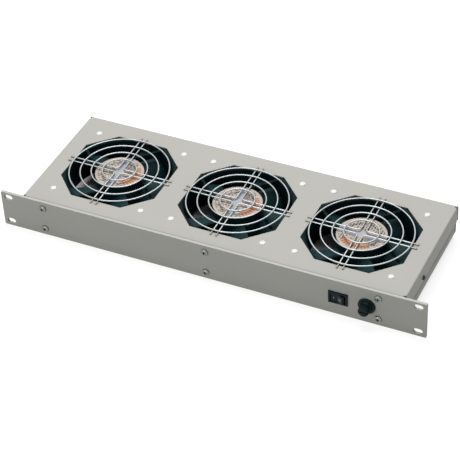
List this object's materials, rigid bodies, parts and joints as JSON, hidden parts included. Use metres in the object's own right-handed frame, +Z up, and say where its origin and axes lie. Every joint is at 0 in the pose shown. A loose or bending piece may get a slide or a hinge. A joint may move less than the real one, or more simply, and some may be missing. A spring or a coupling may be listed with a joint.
{
  "type": "rack fan tray",
  "caption": "One-unit 19 inch rack fan tray: axial fans under windowed sheet-metal cover with wire finger guards, front rocker switch and panel fuse holder.",
  "frame": {"origin": "centre of the four rack slots, on the front face of the front panel", "axes": "+X to the right along the panel, +Y towards the back of the tray, +Z up, the way the fans blow"},
  "size_m": [0.4826, 0.1842, 0.044],
  "materials": {
    "grey_paint": "fine semi-matt powder coat",
    "plated_steel": "bright nickel plate",
    "black_steel": "blackened",
    "white_nylon": "moulded",
    "black_casting": "black enamel on die casting",
    "label_foil": "satin foil",
    "laminated_steel": "stamped",
    "copper_wire": "enamelled wire",
    "bearing_steel": "ground",
    "black_plastic": "moulded",
    "bright_wire": "bright plated wire",
    "brass_metal": "stamped",
    "fuse_glass": "clear with plated ends"
  },
  "bodies": {
    "chassis": {"front_panel": "grey_paint", "top_cover": "grey_paint", "lower_tray": "grey_paint", "panel_screws": "plated_steel", "panel_nuts": "plated_steel", "cover_screws": "black_steel", "fan_rivets": "white_nylon", "left_fan_frame": "black_casting", "left_fan_label": "label_foil", "left_stator": "laminated_steel", "left_windings": "copper_wire", "left_bearings": "bearing_steel", "left_finger_guard": "bright_wire", "middle_fan_frame": "black_casting", "middle_fan_label": "label_foil", "middle_stator": "laminated_steel", "middle_windings": "copper_wire", "middle_bearings": "bearing_steel", "middle_finger_guard": "bright_wire", "right_fan_frame": "black_casting", "right_fan_label": "label_foil", "right_stator": "laminated_steel", "right_windings": "copper_wire", "right_bearings": "bearing_steel", "right_finger_guard": "bright_wire", "switch_housing": "black_plastic", "switch_terminals": "brass_metal", "fuse_holder_body": "black_plastic", "fuse_nut": "black_plastic", "fuse_contact": "brass_metal", "fuse_terminals": "brass_metal", "cable_gland": "black_plastic", "gland_cap": "black_plastic", "gland_locknut": "black_plastic", "terminal_block": "white_nylon", "terminal_sleeves": "brass_metal", "terminal_screws": "plated_steel", "earth_stud": "plated_steel", "earth_nut": "plated_steel"},
    "left_fan_rotor": {"left_rotor": "laminated_steel", "left_impeller": "black_plastic"},
    "middle_fan_rotor": {"middle_rotor": "laminated_steel", "middle_impeller": "black_plastic"},
    "right_fan_rotor": {"right_rotor": "laminated_steel", "right_impeller": "black_plastic"},
    "switch_rocker_body": {"switch_rocker": "black_plastic"},
    "fuse_drawer": {"fuse_carrier": "black_plastic", "fuse_link": "fuse_glass"},
    "fuse_knob": {"fuse_cap": "black_plastic"}
  },
  "joints": [
    {"name": "left_fan_spin", "type": "hinge", "parent": "chassis", "child": "left_fan_rotor", "pos_m": [-0.1405, 0.0815, -0.00198], "axis": [0, 0, 1], "continuous": true},
    {"name": "middle_fan_spin", "type": "hinge", "parent": "chassis", "child": "middle_fan_rotor", "pos_m": [0, 0.0815, -0.00198], "axis": [0, 0, 1], "continuous": true},
    {"name": "right_fan_spin", "type": "hinge", "parent": "chassis", "child": "right_fan_rotor", "pos_m": [0.1405, 0.0815, -0.00198], "axis": [0, 0, 1], "continuous": true},
    {"name": "switch_rock", "type": "hinge", "parent": "chassis", "child": "switch_rocker_body", "pos_m": [0.1475, 0.0015, 0], "axis": [0, 0, 1], "range_deg": [0, 24]},
    {"name": "fuse_pull", "type": "slide", "parent": "chassis", "child": "fuse_drawer", "axis": [0, -1, 0], "range_m": [0, 0.04]},
    {"name": "fuse_cap_turn", "type": "hinge", "parent": "fuse_drawer", "child": "fuse_knob", "pos_m": [0.1783, 0, 0], "axis": [0, 1, 0], "range_deg": [0, 90]}
  ]
}
